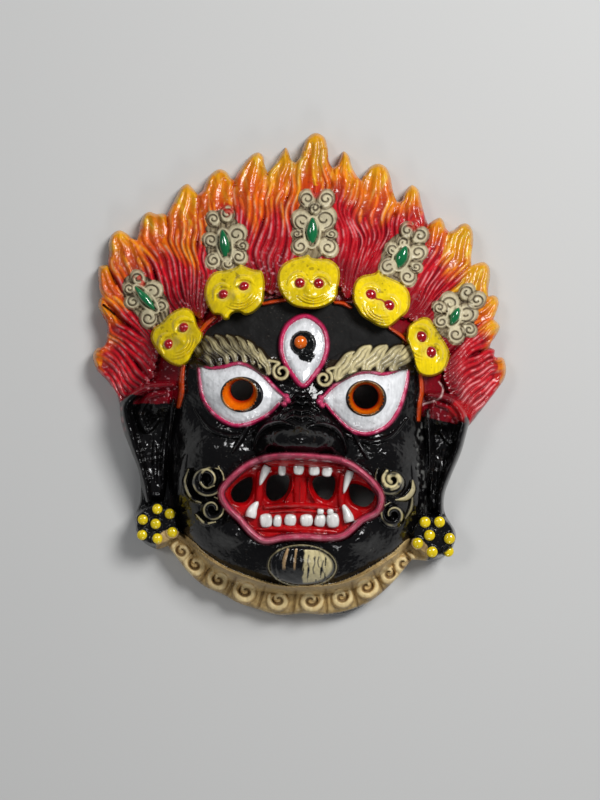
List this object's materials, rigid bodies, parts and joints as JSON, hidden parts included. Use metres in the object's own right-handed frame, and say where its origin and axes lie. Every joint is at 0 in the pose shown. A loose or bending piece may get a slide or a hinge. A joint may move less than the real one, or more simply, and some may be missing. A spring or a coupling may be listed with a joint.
{
  "type": "wall mask",
  "caption": "Cast metal wall mask of a wrathful protector face with a flame and skull crown, fangs, long ears and beard band, hollow behind.",
  "frame": {"origin": "middle of the bounding box in plan, on the plane of the back rim", "axes": "+X to the viewer's right across the face, +Y up the face to the tallest flame, +Z out of the front of the face"},
  "size_m": [0.158, 0.185, 0.0531],
  "materials": {
    "enamelled_casting": "glossy hand-brushed enamel on cast metal: black face, red and gold flames, yellow skulls, worn at the high points"
  },
  "bodies": {
    "root": {"mask": "enamelled_casting"}
  },
  "joints": []
}
